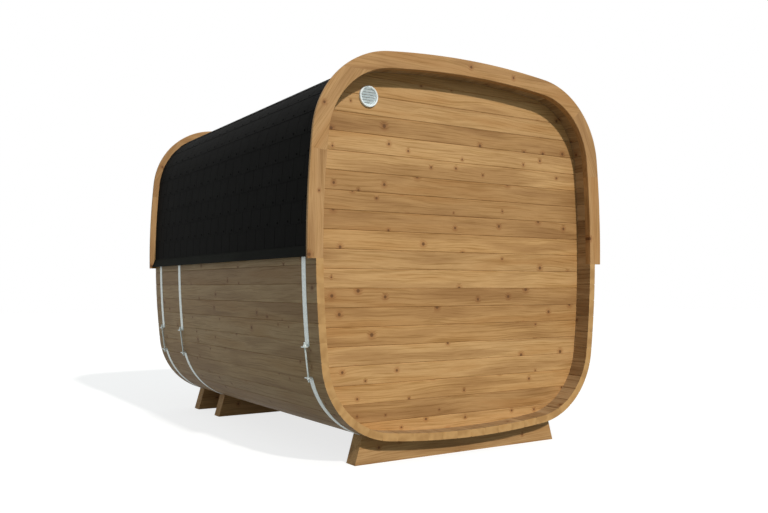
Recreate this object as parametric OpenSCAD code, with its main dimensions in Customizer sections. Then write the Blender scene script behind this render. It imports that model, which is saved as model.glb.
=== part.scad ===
// Cube sauna: a rounded square shell of horizontal staves on three cradles,
// with a recessed rear wall, a front porch, felt roofing and steel straps.
// Frame: X across (right as seen facing the door), Y along (rear end at +Y),
// Z up from the ground. The origin is on the ground under the middle.

/* [Shell] */
// Width over the staves at mid height
body_w = 2250; // [2200:10:2400]
// Height over the staves at mid width, without the cradles
body_h = 2354; // [2300:2:2500]
// Length over the staves
body_l = 3000; // [2600:50:3600]
// Radius of the slightly bowed long sides
side_r = 6340; // [5800:10:7400]
// Radius of the slightly bowed top and underside
top_r = 5670; // [5200:10:6800]
// Radius of the four rounded corners
corner_r = 522; // [440:2:600]
// Thickness of the staves
stave_t = 48; // [40:1:60]

/* [End walls] */
// Thickness of the end walls
wall_t = 45; // [35:1:52]
// How deep the end walls sit in the grooves of the staves
groove_d = 10; // [6:1:14]
// Depth of the recess in front of the rear wall
recess = 124; // [100:1:160]
// Depth of the porch in front of the front wall
porch = 612; // [500:1:750]

/* [Doorway] */
// Clear width of the doorway, inside the jambs
door_w = 690; // [600:10:800]
// Clear height of the doorway, from the sill to the head
door_h = 1800; // [1700:10:1860]
// Height of the sill above the inside of the underside staves
sill_h = 70; // [50:1:90]
// Width of the jambs and the head
frame_w = 70; // [55:1:90]
// How far the frame stands out from the front wall
frame_out = 18; // [12:1:24]
// Thickness of the door leaf
leaf_t = 40; // [30:1:44]
// Gap around the door leaf
leaf_gap = 3; // [2:0.5:5]

/* [Arches] */
// Thickness of the arches at the ends, along the length
arch_t = 45; // [38:1:60]
// Thickness of the outer lip that covers the edge of the roofing
lip_t = 20; // [14:1:26]
// How far the lip stands out from the staves
lip_out = 55; // [45:1:70]
// How far the arch feet reach below mid height
arch_drop = 52; // [40:1:80]
// Height of the butt joint between leg and corner, above mid height
leg_joint = 570; // [480:10:640]
// Height of the level joint between right corner and top, above mid height
top_joint = 1063; // [1040:1:1085]
// Angle of the sloping joint between left corner and top
slope_joint = 45; // [35:1:55]

/* [Roofing] */
// Thickness of the felt shingles and their underlay
felt_t = 11; // [8:1:15]
// How far the eave batten stands out at its lower edge
eave_out = 38; // [30:1:44]
// Height of the eave batten
eave_h = 63; // [50:1:80]
// Height of the upper edge of the eave batten, above mid height
eave_top = 25; // [10:1:40]

/* [Straps] */
// Width of the straps
strap_w = 50; // [40:1:60]
// Thickness of the straps
strap_t = 2; // [1.5:0.5:3]
// Distance of the end straps from the ends of the staves
strap_end = 154; // [148:1:165]
// Height of the upper lug, below mid height
lug_top = 559; // [500:1:600]
// Height of the lower lug, below mid height
lug_low = 747; // [720:1:790]
// Diameter of the threaded tension rod
rod_d = 12; // [10:1:14]

/* [Cradles] */
// Ground clearance under the staves
clearance = 112; // [100:1:140]
// Thickness of a cradle
cradle_t = 104; // [90:1:120]
// Length of a cradle on the ground
cradle_base = 1620; // [1500:10:1760]
// Length of a cradle where it meets the staves
cradle_top = 1514; // [1400:2:1600]

/* [Vent] */
// Diameter of the vent flange
vent_d = 130; // [110:1:140]
// Diameter of the hole in the wall
duct_d = 100; // [80:1:104]
// Distance of the vent from the middle, towards the right
vent_x = 703; // [600:1:740]
// Height of the vent above mid height
vent_z = 939; // [860:1:950]
// Number of louvres
louvre_n = 7; // [5:1:9]

/* [Hidden] */

wood_c = "#B48E61";
dark_wood_c = "#A9814F";
felt_c = "#1B1B19";
zinc_c = "#C8CFCD";
vent_c = "#D2D4C8";

half_w = body_w / 2;
half_h = body_h / 2;
half_l = body_l / 2;
axis_h = clearance + half_h;

// Centres of the right side arc and of the top arc, as [x, z] from the body's axis
side_c = [half_w - side_r, 0];
top_c = [0, half_h - top_r];

// Centre of the corner arc that is tangent to both: where two circles cross
function tangent_centre(p, q, rp, rq) =
    let (d = norm(q - p), u = (q - p) / d, n = [-u[1], u[0]],
         m = (rp * rp - rq * rq + d * d) / (2 * d))
    p + m * u + sqrt(rp * rp - m * m) * n;
corner_c = tangent_centre(side_c, top_c, side_r - corner_r, top_r - corner_r);

// Angles at which the arcs meet: side to corner, and corner to top
side_a = atan2(corner_c[1], corner_c[0] - side_c[0]);
top_a = atan2(corner_c[1] - top_c[1], corner_c[0]);

// Angle on the right side arc at a height from the body's axis
function side_angle(z) = asin(z / side_r);

// A point at an angle on an arc, with an offset outward
function on_arc(c, r, a, out = 0) = c + (r + out) * [cos(a), sin(a)];

rear_wall_y = half_l - recess - wall_t;
front_wall_y = -half_l + porch;
strap_ys = [half_l - strap_end, front_wall_y + wall_t / 2, -half_l + strap_end];
strap_slot = 0.5;

sill_z = -half_h + stave_t + sill_h;
head_z = sill_z + door_h;
leaf_w = door_w - 2 * leaf_gap;
leaf_h = door_h - 2 * leaf_gap;
leaf_face_y = front_wall_y - frame_out;

// ---- building blocks ----

// A bar bent along an arc: from angle a0 to a1, between two offsets from the
// arc's radius, and from y0 to y1 along the length
module arc_bar(c, r, a0, a1, inner, outer, y0, y1, fn) {
    translate([c[0], 0, c[1]])
        rotate([90, 0, 0])
            rotate([0, 0, a0])
                rotate_extrude(angle = a1 - a0, $fn = fn)
                    translate([r + inner, -y1])
                        square([outer - inner, y1 - y0]);
}

module side_bar(a0, a1, inner, outer, y0, y1) {
    arc_bar(side_c, side_r, a0, a1, inner, outer, y0, y1, 720);
}

module corner_bar(a0, a1, inner, outer, y0, y1) {
    arc_bar(corner_c, corner_r, a0, a1, inner, outer, y0, y1, 360);
}

module top_bar(inner, outer, y0, y1) {
    arc_bar(top_c, top_r, top_a, 180 - top_a, inner, outer, y0, y1, 720);
}

module lift() {
    translate([0, 0, axis_h]) children();
}

module flip_x() {
    mirror([1, 0, 0]) children();
}

module flip_z() {
    mirror([0, 0, 1]) children();
}

// The body's outline as a flat shape, with an offset outward
module outline(out) {
    difference() {
        intersection() {
            translate(side_c) circle(side_r + out, $fn = 720);
            translate(-side_c) circle(side_r + out, $fn = 720);
            translate(top_c) circle(top_r + out, $fn = 720);
            translate(-top_c) circle(top_r + out, $fn = 720);
        }
        for (sx = [-1, 1], sz = [-1, 1])
            scale([sx, sz])
                corner_wedge();
    }
    for (sx = [-1, 1], sz = [-1, 1])
        translate([sx * corner_c[0], sz * corner_c[1]])
            circle(corner_r + out, $fn = 360);
}

// The part of a sharp corner that the corner arc replaces
module corner_wedge() {
    reach = 2 * corner_r;
    polygon([
        corner_c,
        corner_c + reach * [cos(side_a), sin(side_a)],
        corner_c + reach * [1.2, 1.2],
        corner_c + reach * [cos(top_a), sin(top_a)],
    ]);
}

// A flat plate with the body's outline, from y0 to y1
module plate(out, y0, y1) {
    translate([0, y1, 0])
        rotate([90, 0, 0])
            linear_extrude(y1 - y0)
                outline(out);
}

// ---- shell ----

// The grooves that the end walls sit in
module wall_grooves() {
    for (y = [rear_wall_y, front_wall_y])
        plate(groove_d - stave_t, y, y + wall_t);
}

// Staves below the arch feet run the full length. Those above stop at the arches.
module side_staves() {
    foot_a = side_angle(-arch_drop);
    short_l = half_l - arch_t;
    difference() {
        union() {
            side_bar(-side_a, foot_a, -stave_t, 0, -half_l, half_l);
            side_bar(foot_a, side_a, -stave_t, 0, -short_l, short_l);
        }
        wall_grooves();
    }
}

module corner_staves(end_y) {
    difference() {
        corner_bar(side_a, top_a, -stave_t, 0, -end_y, end_y);
        wall_grooves();
    }
}

module top_staves(end_y) {
    difference() {
        top_bar(-stave_t, 0, -end_y, end_y);
        wall_grooves();
    }
}

module side_staves_right() { color(wood_c) lift() side_staves(); }
module side_staves_left() { color(wood_c) lift() flip_x() side_staves(); }
module upper_corner_right() { color(wood_c) lift() corner_staves(half_l - arch_t); }
module upper_corner_left() { color(wood_c) lift() flip_x() corner_staves(half_l - arch_t); }
module lower_corner_right() { color(wood_c) lift() flip_z() corner_staves(half_l); }
module lower_corner_left() { color(wood_c) lift() flip_x() flip_z() corner_staves(half_l); }
module roof_staves() { color(wood_c) lift() top_staves(half_l - arch_t); }
module floor_staves() { color(wood_c) lift() flip_z() top_staves(half_l); }

// ---- end walls ----

// Room left at the bottom of the grooves
groove_gap = 1;

module end_wall(y) {
    plate(groove_d - groove_gap - stave_t, y, y + wall_t);
}

module rear_wall() {
    color(dark_wood_c)
        lift()
            difference() {
                end_wall(rear_wall_y);
                translate([vent_x, rear_wall_y - 1, vent_z])
                    rotate([-90, 0, 0])
                        cylinder(d = duct_d, h = wall_t + 2, $fn = 96);
            }
}

// The part of the front wall between two positions across and two heights
module front_wall_part(x0, x1, z0, z1) {
    intersection() {
        end_wall(front_wall_y);
        translate([x0, front_wall_y - 1, z0])
            cube([x1 - x0, wall_t + 2, z1 - z0]);
    }
}

opening_x = door_w / 2 + frame_w / 2;
opening_top = head_z + frame_w / 2;

module front_wall_right() {
    color(dark_wood_c) lift() front_wall_part(opening_x, half_w, -half_h, half_h);
}
module front_wall_left() {
    color(dark_wood_c) lift() front_wall_part(-half_w, -opening_x, -half_h, half_h);
}
module front_wall_over_door() {
    color(dark_wood_c) lift() front_wall_part(-opening_x, opening_x, opening_top, half_h);
}

// ---- doorway ----

// A frame member: a lining inside the opening with a casing that laps the wall
module frame_member(w, h) {
    translate([0, front_wall_y, 0])
        cube([w / 2, wall_t, h]);
    translate([0, front_wall_y - frame_out, 0])
        cube([w, frame_out, h]);
}

module door_jamb_right() {
    color(wood_c)
        lift()
            translate([door_w / 2, 0, sill_z])
                frame_member(frame_w, door_h);
}

module door_jamb_left() {
    color(wood_c)
        lift()
            flip_x()
                translate([door_w / 2, 0, sill_z])
                    frame_member(frame_w, door_h);
}

module door_head() {
    color(wood_c)
        lift() {
            translate([-opening_x, front_wall_y, head_z])
                cube([2 * opening_x, wall_t, frame_w / 2]);
            translate([-door_w / 2 - frame_w, front_wall_y - frame_out, head_z])
                cube([door_w + 2 * frame_w, frame_out, frame_w]);
        }
}

// The sill closes the wall below the doorway and stands out as far as the frame
module door_sill() {
    color(wood_c)
        lift() {
            front_wall_part(-opening_x, opening_x, -half_h, sill_z);
            translate([-door_w / 2 - frame_w, front_wall_y - frame_out, sill_z - frame_w / 2])
                cube([door_w + 2 * frame_w, frame_out, frame_w / 2]);
        }
}

module door_leaf() {
    color(dark_wood_c)
        lift()
            translate([-leaf_w / 2, leaf_face_y, sill_z + leaf_gap])
                cube([leaf_w, leaf_t, leaf_h]);
}

hinge_l = 90;
hinge_plate = 32;
hinge_t = 3;
hinge_pin = 10;

// A butt hinge that lies on the leaf and on the jamb, with its pin between them
module hinge() {
    translate([-hinge_plate - leaf_gap / 2, -hinge_t, 0])
        cube([2 * hinge_plate + leaf_gap, hinge_t, hinge_l]);
    translate([0, -hinge_t - hinge_pin / 2 + 1, 0])
        cylinder(d = hinge_pin, h = hinge_l, $fn = 32);
}

module door_hinges() {
    color(zinc_c)
        lift()
            for (z = [0.12, 0.5, 0.88])
                translate([-door_w / 2 + leaf_gap / 2, leaf_face_y, sill_z + z * door_h - hinge_l / 2])
                    hinge();
}

handle_l = 360;
handle_w = 32;
handle_out = 62;

module door_handle() {
    color(wood_c)
        lift()
            translate([leaf_w / 2 - 90, leaf_face_y, sill_z + door_h / 2 - handle_l / 2]) {
                translate([-handle_w / 2, -handle_out, 0])
                    cube([handle_w, handle_w, handle_l]);
                for (z = [40, handle_l - 40 - handle_w])
                    translate([-handle_w / 2, -handle_out, z])
                        cube([handle_w, handle_out, handle_w]);
            }
}

// ---- arches ----

// An arch is a rib against the ends of the upper staves, with an outer lip.
// These three make its side, corner and top stretches on the right at the rear.
module arch_side(a0, a1) {
    side_bar(a0, a1, -stave_t, 0, half_l - arch_t, half_l);
    side_bar(a0, a1, -stave_t, lip_out, half_l - lip_t, half_l);
}

module arch_corner(a0, a1) {
    corner_bar(a0, a1, -stave_t, 0, half_l - arch_t, half_l);
    corner_bar(a0, a1, -stave_t, lip_out, half_l - lip_t, half_l);
}

module arch_crown() {
    top_bar(-stave_t, 0, half_l - arch_t, half_l);
    top_bar(-stave_t, lip_out, half_l - lip_t, half_l);
}

module arch_leg() {
    arch_side(side_angle(-arch_drop), side_angle(leg_joint));
}

// Everything at the rear end above a height from the body's axis
module above(z) {
    translate([-body_w, half_l - 2 * arch_t, z])
        cube([2 * body_w, 3 * arch_t, body_h]);
}

// A corner piece is laminated from a straight foot and a bent length. The glue
// line between them is this wide.
glue_line = 0.05;
foot_end_a = side_a - glue_line / side_r * 180 / PI;

// The right corner ends at a level joint, and the left one at a sloping joint
module arch_corner_level() {
    difference() {
        union() {
            arch_side(side_angle(leg_joint), foot_end_a);
            arch_corner(side_a, top_a);
        }
        above(top_joint);
    }
}

module arch_corner_sloping() {
    flip_x() {
        arch_side(side_angle(leg_joint), foot_end_a);
        arch_corner(side_a, slope_joint);
    }
}

module arch_top() {
    arch_crown();
    intersection() {
        arch_corner(side_a, top_a);
        above(top_joint);
    }
    flip_x()
        arch_corner(slope_joint, top_a);
}

module to_front() {
    mirror([0, 1, 0]) children();
}

module rear_arch_leg_right() { color(wood_c) lift() arch_leg(); }
module rear_arch_leg_left() { color(wood_c) lift() flip_x() arch_leg(); }
module rear_arch_corner_right() { color(wood_c) lift() arch_corner_level(); }
module rear_arch_corner_left() { color(wood_c) lift() arch_corner_sloping(); }
module rear_arch_top() { color(wood_c) lift() arch_top(); }
module front_arch_leg_right() { to_front() rear_arch_leg_right(); }
module front_arch_leg_left() { to_front() rear_arch_leg_left(); }
module front_arch_corner_right() { to_front() rear_arch_corner_right(); }
module front_arch_corner_left() { to_front() rear_arch_corner_left(); }
module front_arch_top() { to_front() rear_arch_top(); }

// ---- roofing ----

roof_l = half_l - lip_t;

// Room for the straps under the roofing, the eaves and the cradles
module strap_slots() {
    for (y = strap_ys)
        difference() {
            plate(strap_t + strap_slot, y - strap_w / 2 - strap_slot, y + strap_w / 2 + strap_slot);
            plate(-1, y - strap_w, y + strap_w);
        }
}

module roofing_right() {
    color(felt_c)
        lift()
            difference() {
                union() {
                    side_bar(side_angle(eave_top), side_a, 0, felt_t, -roof_l, roof_l);
                    corner_bar(side_a, top_a, 0, felt_t, -roof_l, roof_l);
                }
                strap_slots();
            }
}

module roofing_left() {
    flip_x() roofing_right();
}

module roofing_top() {
    color(felt_c)
        lift()
            difference() {
                top_bar(0, felt_t, -roof_l, roof_l);
                strap_slots();
            }
}

// A wedge under the lower edge of the roofing that throws the water clear
module eave_right() {
    color(felt_c)
        lift()
            difference() {
                translate([0, roof_l, 0])
                    rotate([90, 0, 0])
                        linear_extrude(2 * roof_l)
                            difference() {
                                polygon([
                                    [half_w - felt_t, eave_top - eave_h],
                                    [half_w + eave_out, eave_top - eave_h],
                                    [half_w + felt_t, eave_top],
                                    [half_w - felt_t, eave_top],
                                ]);
                                translate(side_c) circle(side_r, $fn = 720);
                            }
                strap_slots();
            }
}

module eave_left() {
    flip_x() eave_right();
}

// ---- straps ----

lug_t = 6;
lug_w = strap_w;
lug_out = 30;
rod_out = 17;
rod_play = 0.5;
nut_d = 22;
nut_h = 10;
rod_tail = 14;

// The two ends of the strap on the right side: on the side arc and on the corner arc
top_end_a = side_angle(-lug_top);
low_end_a = -asin((lug_low - corner_c[1]) / corner_r);
low_corner_c = [corner_c[0], -corner_c[1]];
top_end = on_arc(side_c, side_r, top_end_a);
low_end = on_arc(low_corner_c, corner_r, low_end_a);
rod_run = norm(top_end - low_end);
rod_lean = atan2(top_end[0] - low_end[0], top_end[1] - low_end[1]);

// Axes at the lower end of the strap: Z along the rod, X outward
module at_low_end() {
    translate([low_end[0], 0, low_end[1]])
        rotate([0, rod_lean, 0])
            children();
}

module strap(y) {
    y0 = y - strap_w / 2;
    y1 = y + strap_w / 2;
    color(zinc_c)
        lift()
            difference() {
                union() {
                    side_bar(top_end_a, side_a, 0, strap_t, y0, y1);
                    corner_bar(side_a, top_a, 0, strap_t, y0, y1);
                    top_bar(0, strap_t, y0, y1);
                    flip_x() corner_bar(side_a, top_a, 0, strap_t, y0, y1);
                    flip_x() side_bar(-side_a, side_a, 0, strap_t, y0, y1);
                    flip_x() flip_z() corner_bar(side_a, top_a, 0, strap_t, y0, y1);
                    flip_z() top_bar(0, strap_t, y0, y1);
                    flip_z() corner_bar(-low_end_a, top_a, 0, strap_t, y0, y1);
                    translate([0, y, 0]) at_low_end() lugs();
                }
                translate([0, y, 0]) at_low_end() rod_hole();
            }
}

module lugs() {
    for (z = [0, rod_run - lug_t])
        translate([1, -lug_w / 2, z])
            cube([lug_out, lug_w, lug_t]);
}

module rod_hole() {
    translate([rod_out, 0, -1])
        cylinder(d = rod_d + rod_play, h = rod_run + 2, $fn = 48);
}

module nut() {
    difference() {
        cylinder(d = nut_d, h = nut_h, $fn = 6);
        translate([0, 0, -1])
            cylinder(d = rod_d - 1, h = nut_h + 2, $fn = 48);
    }
}

// A threaded rod with a nut outside each lug
module tension_rod(y) {
    color(zinc_c)
        lift()
            translate([0, y, 0])
                at_low_end()
                    translate([rod_out, 0, 0]) {
                        translate([0, 0, -nut_h - rod_tail])
                            cylinder(d = rod_d, h = rod_run + 2 * (nut_h + rod_tail), $fn = 48);
                        translate([0, 0, -nut_h]) nut();
                        translate([0, 0, rod_run]) nut();
                    }
}

module strap_rear() { strap(strap_ys[0]); }
module strap_middle() { strap(strap_ys[1]); }
module strap_front() { strap(strap_ys[2]); }
module tension_rod_rear() { tension_rod(strap_ys[0]); }
module tension_rod_middle() { tension_rod(strap_ys[1]); }
module tension_rod_front() { tension_rod(strap_ys[2]); }

// ---- cradles ----

// A timber under a strap, hollowed to the shape of the staves
module cradle(y) {
    color(wood_c)
        lift()
            difference() {
                translate([0, y + cradle_t / 2, 0])
                    rotate([90, 0, 0])
                        linear_extrude(cradle_t)
                            difference() {
                                polygon([
                                    [-cradle_base / 2, -axis_h],
                                    [cradle_base / 2, -axis_h],
                                    [cradle_top / 2, -cradle_z],
                                    [-cradle_top / 2, -cradle_z],
                                ]);
                                outline(0);
                            }
                strap_slots();
            }
}

// Height at which a cradle's sloping ends meet the corner arcs
cradle_z = corner_c[1] + sqrt(pow(corner_r, 2) - pow(cradle_top / 2 - corner_c[0], 2));

module cradle_rear() { cradle(strap_ys[0]); }
module cradle_middle() { cradle(strap_ys[1]); }
module cradle_front() { cradle(strap_ys[2]); }

// ---- vent ----

vent_rim = 9;
flange_t = 14;
duct_t = 3;
duct_l = wall_t + 10;
louvre_t = 2;
louvre_depth = 13;
louvre_tilt = 38;

module at_vent() {
    lift()
        translate([vent_x, rear_wall_y + wall_t, vent_z])
            rotate([-90, 0, 0])
                children();
}

// A round flange on the wall with a duct through it
module vent_flange() {
    color(vent_c)
        at_vent()
            difference() {
                union() {
                    cylinder(d = vent_d, h = flange_t, $fn = 128);
                    translate([0, 0, -duct_l])
                        cylinder(d = duct_d, h = duct_l + 1, $fn = 96);
                }
                translate([0, 0, 2])
                    cylinder(d = vent_d - 2 * vent_rim, h = flange_t, $fn = 128);
                translate([0, 0, -duct_l - 1])
                    cylinder(d = duct_d - 2 * duct_t, h = duct_l + 4, $fn = 96);
            }
}

// Slanting louvres that span the flange and meet a thin ring inside its rim
module vent_louvres() {
    inner_d = vent_d - 2 * vent_rim;
    ring_t = 2;
    pitch = inner_d / louvre_n;
    color(vent_c)
        at_vent() {
            difference() {
                translate([0, 0, 2]) cylinder(d = inner_d, h = flange_t - 3, $fn = 128);
                translate([0, 0, 1]) cylinder(d = inner_d - 2 * ring_t, h = flange_t, $fn = 128);
            }
            intersection() {
                translate([0, 0, 2]) cylinder(d = inner_d - ring_t, h = flange_t - 3, $fn = 128);
                for (i = [0 : louvre_n - 1])
                    translate([-inner_d / 2, (i + 0.5) * pitch - inner_d / 2, flange_t / 2])
                        rotate([-louvre_tilt, 0, 0])
                            translate([0, -louvre_depth / 2, -louvre_t / 2])
                                cube([inner_d, louvre_depth, louvre_t]);
            }
        }
}

floor_staves();
roof_staves();
side_staves_left();
side_staves_right();
lower_corner_left();
lower_corner_right();
upper_corner_left();
upper_corner_right();
rear_wall();
front_wall_left();
front_wall_right();
front_wall_over_door();
door_sill();
door_jamb_left();
door_jamb_right();
door_head();
door_leaf();
door_hinges();
door_handle();
rear_arch_leg_left();
rear_arch_leg_right();
rear_arch_corner_left();
rear_arch_corner_right();
rear_arch_top();
front_arch_leg_left();
front_arch_leg_right();
front_arch_corner_left();
front_arch_corner_right();
front_arch_top();
roofing_left();
roofing_right();
roofing_top();
eave_left();
eave_right();
strap_rear();
strap_middle();
strap_front();
tension_rod_rear();
tension_rod_middle();
tension_rod_front();
cradle_rear();
cradle_middle();
cradle_front();
vent_flange();
vent_louvres();
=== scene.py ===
# %% [markdown]
# # A cube sauna in planed spruce
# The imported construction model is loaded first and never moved. Each visible timber
# is then made as its own board, stave or arch piece, laid in the place that the
# construction gives. All lengths below are in metres.

# %% Load the frame
import math
import bpy
import bmesh
import numpy as np
from mathutils import Matrix, Vector


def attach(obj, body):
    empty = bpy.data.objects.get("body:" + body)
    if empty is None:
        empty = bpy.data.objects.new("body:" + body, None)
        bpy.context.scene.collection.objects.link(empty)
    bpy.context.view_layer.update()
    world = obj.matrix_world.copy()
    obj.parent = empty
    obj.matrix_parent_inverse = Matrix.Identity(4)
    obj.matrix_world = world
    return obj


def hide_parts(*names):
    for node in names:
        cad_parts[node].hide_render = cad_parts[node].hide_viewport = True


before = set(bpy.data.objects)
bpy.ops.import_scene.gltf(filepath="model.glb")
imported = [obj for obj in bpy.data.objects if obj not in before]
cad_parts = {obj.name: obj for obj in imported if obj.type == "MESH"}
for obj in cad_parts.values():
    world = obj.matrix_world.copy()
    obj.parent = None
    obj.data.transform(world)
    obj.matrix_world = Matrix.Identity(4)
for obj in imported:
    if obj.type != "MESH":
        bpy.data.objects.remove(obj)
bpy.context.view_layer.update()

MM = 0.001

# %% [markdown]
# ## Driving sizes
# These repeat the construction's own sizes. The body's outline is a rounded square:
# two large arcs, and a tangent corner arc between them.

# %% Sizes
BODY_W, BODY_H, BODY_L = 2.250, 2.354, 3.000
SIDE_R, TOP_R, CORNER_R = 6.340, 5.670, 0.522
STAVE_T, WALL_T, RECESS, PORCH = 0.048, 0.045, 0.124, 0.612
ARCH_T, LIP_T, LIP_OUT, ARCH_DROP = 0.045, 0.020, 0.055, 0.052
LEG_JOINT, TOP_JOINT, SLOPE_JOINT = 0.570, 1.063, 45.0
EAVE_TOP = 0.025
BOARD_PITCH, TOP_BOARD_JOINT = 0.117, 1.0635
DOOR_W, DOOR_H, SILL_H, FRAME_W, FRAME_OUT = 0.690, 1.800, 0.070, 0.070, 0.018
VENT_D, DUCT_D, VENT_X, VENT_Z = 0.130, 0.100, 0.703, 0.939

HALF_W, HALF_H, HALF_L = BODY_W / 2, BODY_H / 2, BODY_L / 2
AXIS_H = 0.112 + HALF_H
REAR_FACE_Y = HALF_L - RECESS
FRONT_FACE_Y = -HALF_L + PORCH

# %% [markdown]
# ## The outline as a curve
# A point that travels round the outline is described by the length it has covered.
# The length starts at the middle of the right side and grows upwards, over the top,
# down the left side and back underneath. Everything that is bent round the body is
# first laid out flat on this length and then wrapped.

# %% Outline
def tangent_centre():
    """Centre of the corner arc that is tangent to the side arc and the top arc."""
    p, q = np.array([HALF_W - SIDE_R, 0.0]), np.array([0.0, HALF_H - TOP_R])
    rp, rq = SIDE_R - CORNER_R, TOP_R - CORNER_R
    d = np.linalg.norm(q - p)
    u = (q - p) / d
    m = (rp**2 - rq**2 + d**2) / (2 * d)
    return p + m * u + math.sqrt(rp**2 - m**2) * np.array([-u[1], u[0]])


CORNER = tangent_centre()
SIDE_A = math.atan2(CORNER[1], CORNER[0] - HALF_W + SIDE_R)
TOP_A = math.atan2(CORNER[1] - HALF_H + TOP_R, CORNER[0])
SIDE_LEN = SIDE_R * SIDE_A
CORNER_LEN = CORNER_R * (TOP_A - SIDE_A)
TOP_LEN = TOP_R * (math.pi / 2 - TOP_A)
QUARTER = SIDE_LEN + CORNER_LEN + TOP_LEN
ROUND = 4 * QUARTER


def quarter_point(s):
    """Position and outward direction in the first quarter, from the side to the top."""
    if s < SIDE_LEN:
        a, c, r = s / SIDE_R, (HALF_W - SIDE_R, 0.0), SIDE_R
    elif s < SIDE_LEN + CORNER_LEN:
        a, c, r = SIDE_A + (s - SIDE_LEN) / CORNER_R, CORNER, CORNER_R
    else:
        a, c, r = TOP_A + (s - SIDE_LEN - CORNER_LEN) / TOP_R, (0.0, HALF_H - TOP_R), TOP_R
    return (c[0] + r * math.cos(a), c[1] + r * math.sin(a)), (math.cos(a), math.sin(a))


def outline_point(s):
    """Position and outward direction at any length round the outline."""
    s = s % ROUND
    q, t = divmod(s, QUARTER)
    q = int(q)
    if q in (1, 3):
        t = QUARTER - t
    (x, z), (nx, nz) = quarter_point(t)
    sx = -1 if q in (1, 2) else 1
    sz = -1 if q in (2, 3) else 1
    return (sx * x, sz * z), (sx * nx, sz * nz)


def wrap(s, y, h):
    """A flat place (length round, length along, height above the staves) on the body."""
    (x, z), (nx, nz) = outline_point(s)
    return (x + h * nx, y, AXIS_H + z + h * nz)


def side_length(z):
    """Length round the outline at a height above the body's axis, on the right side."""
    return SIDE_R * math.asin(z / SIDE_R)


print("outline", round(ROUND, 3), "m round")

# %% [markdown]
# ## Helpers for materials
# Colours are written as sRGB hex values and turned linear by one function. One small
# function adds a node, sets its values and links its inputs.

# %% Material helpers
def hex_colour(code):
    parts = [int(code[i:i + 2], 16) / 255 for i in (1, 3, 5)]
    return [c / 12.92 if c <= 0.04045 else ((c + 0.055) / 1.055) ** 2.4 for c in parts] + [1.0]


def add(tree, kind, settings=None, **inputs):
    """Adds a node. Settings are its own values. Inputs are sockets or plain values."""
    node = tree.nodes.new(kind)
    for key, value in (settings or {}).items():
        setattr(node, key, value)
    for key, value in inputs.items():
        socket = node.inputs[int(key[1:])] if key[1:].isdigit() else node.inputs[key.replace("_", " ")]
        if isinstance(value, bpy.types.NodeSocket):
            tree.links.new(value, socket)
        else:
            socket.default_value = value
    return node


def new_material(name):
    material = bpy.data.materials.new(name)
    material.use_nodes = True
    tree = material.node_tree
    return material, tree, tree.nodes["Principled BSDF"]


def ramp(tree, factor, stops):
    """A colour ramp from (position, hex colour) pairs."""
    node = add(tree, "ShaderNodeValToRGB", i0=factor)
    band = node.color_ramp
    while len(band.elements) < len(stops):
        band.elements.new(0.5)
    for element, (place, code) in zip(band.elements, stops):
        element.position = place
        element.color = hex_colour(code)
    return node.outputs["Color"]


def math_node(tree, operation, a, b=0.0):
    return add(tree, "ShaderNodeMath", {"operation": operation}, i0=a, i1=b).outputs[0]


def blend_colours(tree, mode, factor, a, b):
    node = add(tree, "ShaderNodeMix", {"data_type": "RGBA", "blend_type": mode}, i0=factor, i6=a, i7=b)
    return node.outputs[2]


# %% [markdown]
# ## Planed spruce
# Planed and oiled spruce shows long pale and dark growth lines, darker knots, and a
# different tone on each board. Boards carry two attributes: plank is the place in
# the plank, with the grain along X, and tone is a random number for each board.

# %% Spruce
GRAIN_W = 5 * MM
KNOT_CELL = 0.19
KNOT_R = 15 * MM
CLEAR_SHARE = 0.5
SMALLEST, SIZE_RANGE = 0.4, 0.65
WAVE, KNOT_PUSH = 60 * MM, 12 * MM
LINE_STRETCH, FIBRE_STRETCH = 0.026, 0.09


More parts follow.
